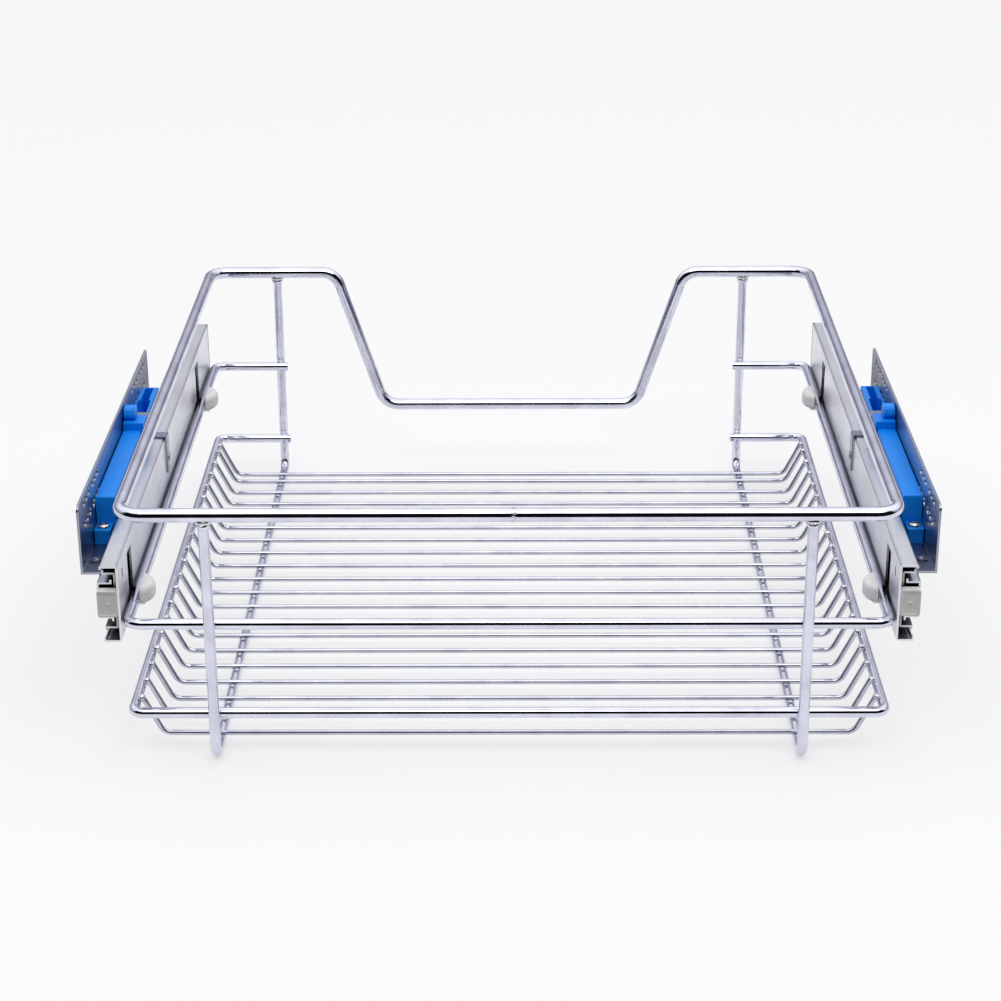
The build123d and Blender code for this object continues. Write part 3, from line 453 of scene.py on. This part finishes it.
# ---------------------------------------------------------------- floor, light and camera
def floor_material():
    """White paper: keeps the shadow, with a glow that the camera and reflections see."""
    n = Nodes("floor")
    n.set(Roughness=0.9)
    n.shader.inputs["Base Color"].default_value = (*FLOOR_TONE, 1.0)
    n.shader.inputs["Specular IOR Level"].default_value = 0.0
    path = n.tree.nodes.new("ShaderNodeLightPath")
    seen = n.add("ShaderNodeMath")
    seen.operation = "MAXIMUM"
    n.join(path.outputs["Is Camera Ray"], seen.inputs[0])
    n.join(path.outputs["Is Glossy Ray"], seen.inputs[1])
    glow = n.span(seen.outputs[0], 0.0, FLOOR_GLOW, 0.0, 1.0)
    n.shader.inputs["Emission Color"].default_value = (1.0, 1.0, 1.0, 1.0)
    n.join(glow, n.shader.inputs["Emission Strength"])
    return n.material


ground = bmesh.new()
ground.faces.new([ground.verts.new((x, y, FLOOR_Z)) for x, y in (
    (-FLOOR_REACH, FLOOR_FRONT_Y), (FLOOR_REACH, FLOOR_FRONT_Y),
    (FLOOR_REACH, FLOOR_REACH), (-FLOOR_REACH, FLOOR_REACH))])
floor_obj = bpy.data.objects.new("floor", finished("floor", ground))
bpy.context.scene.collection.objects.link(floor_obj)
floor_obj.data.materials.append(floor_material())

world = bpy.data.worlds.new("studio")
bpy.context.scene.world = world
world.use_nodes = True
tree = world.node_tree
tree.nodes.clear()
sky_out = tree.nodes.new("ShaderNodeOutputWorld")
sky = tree.nodes.new("ShaderNodeBackground")
direction = tree.nodes.new("ShaderNodeTexCoord")
split = tree.nodes.new("ShaderNodeSeparateXYZ")
tree.links.new(direction.outputs["Generated"], split.inputs[0])


def sky_bands(stops):
    """Sky colour by height of the direction, -1 straight down to 1 straight up."""
    scale = tree.nodes.new("ShaderNodeMapRange")
    scale.inputs["From Min"].default_value = -1.0
    scale.inputs["From Max"].default_value = 1.0
    bands = tree.nodes.new("ShaderNodeValToRGB")
    marks = bands.color_ramp.elements
    while len(marks) < len(stops):
        marks.new(0.5)
    for mark, (height, colour) in zip(marks, stops):
        mark.position = (height + 1) / 2
        mark.color = (*colour, 1.0)
    tree.links.new(split.outputs["Z"], scale.inputs["Value"])
    tree.links.new(scale.outputs["Result"], bands.inputs["Fac"])
    return bands.outputs["Color"]


around = sky_bands([
    (-1.0, (0.80, 0.80, 0.88)), (0.0, (0.20, 0.20, 0.26)), (0.22, (0.36, 0.36, 0.44)),
    (0.55, (1.1, 1.1, 1.12)), (1.0, (1.45, 1.45, 1.45)),
])
# A dark room toward the front gives the chrome its black streaks.
front = sky_bands([
    (-1.0, (0.55, 0.55, 0.62)), (-0.45, (0.30, 0.30, 0.36)), (-0.30, (0.004, 0.004, 0.006)),
    (0.66, (0.004, 0.004, 0.006)), (0.72, (0.80, 0.80, 0.84)), (0.78, (1.45, 1.45, 1.45)),
    (1.0, (1.45, 1.45, 1.45)),
])
ahead = tree.nodes.new("ShaderNodeMapRange")
ahead.inputs["From Min"].default_value = 0.10
ahead.inputs["From Max"].default_value = 0.32
facing = tree.nodes.new("ShaderNodeMath")
facing.operation = "MULTIPLY"
facing.inputs[1].default_value = -1.0
tree.links.new(split.outputs["Y"], facing.inputs[0])
tree.links.new(facing.outputs[0], ahead.inputs["Value"])
room = tree.nodes.new("ShaderNodeMix")
room.data_type = "RGBA"
tree.links.new(ahead.outputs["Result"], room.inputs[0])
tree.links.new(around, room.inputs[6])
tree.links.new(front, room.inputs[7])
path = tree.nodes.new("ShaderNodeLightPath")
seen_sky = tree.nodes.new("ShaderNodeMix")
seen_sky.data_type = "RGBA"
seen_sky.inputs[7].default_value = (*SKY_SEEN, 1.0)
tree.links.new(path.outputs["Is Camera Ray"], seen_sky.inputs[0])
tree.links.new(room.outputs[2], seen_sky.inputs[6])
tree.links.new(seen_sky.outputs[2], sky.inputs["Color"])
sky.inputs["Strength"].default_value = 1.0
tree.links.new(sky.outputs[0], sky_out.inputs["Surface"])

for lamp_name, place, wide, deep, energy in LAMPS:
    lamp_data = bpy.data.lights.new(lamp_name, "AREA")
    lamp_data.shape = "RECTANGLE"
    lamp_data.size = wide
    lamp_data.size_y = deep
    lamp_data.energy = energy
    lamp = bpy.data.objects.new(lamp_name, lamp_data)
    lamp.location = place
    lamp.rotation_euler = (Vector(place) - Vector(LAMP_AIM)).to_track_quat("Z", "Y").to_euler()
    bpy.context.scene.collection.objects.link(lamp)

pitch, yaw, roll = (math.radians(angle) for angle in (CAMERA_PITCH, CAMERA_YAW, CAMERA_ROLL))
forward = Vector((math.sin(yaw) * math.cos(pitch), math.cos(yaw) * math.cos(pitch), -math.sin(pitch)))
right = Vector((math.cos(yaw), -math.sin(yaw), 0.0))
up = right.cross(forward)
tilted_right = right * math.cos(roll) + up * math.sin(roll)
tilted_up = up * math.cos(roll) - right * math.sin(roll)
turn = Matrix((tilted_right, tilted_up, -forward)).transposed().to_4x4()
camera_data = bpy.data.cameras.new("camera")
camera_data.sensor_width = 36.0
camera_data.lens = CAMERA_LENS
camera = bpy.data.objects.new("camera", camera_data)
camera.matrix_world = Matrix.Translation(Vector(CAMERA_PLACE) * MM) @ turn
bpy.context.scene.collection.objects.link(camera)
bpy.context.scene.camera = camera
bpy.context.scene.view_settings.view_transform = "Standard"
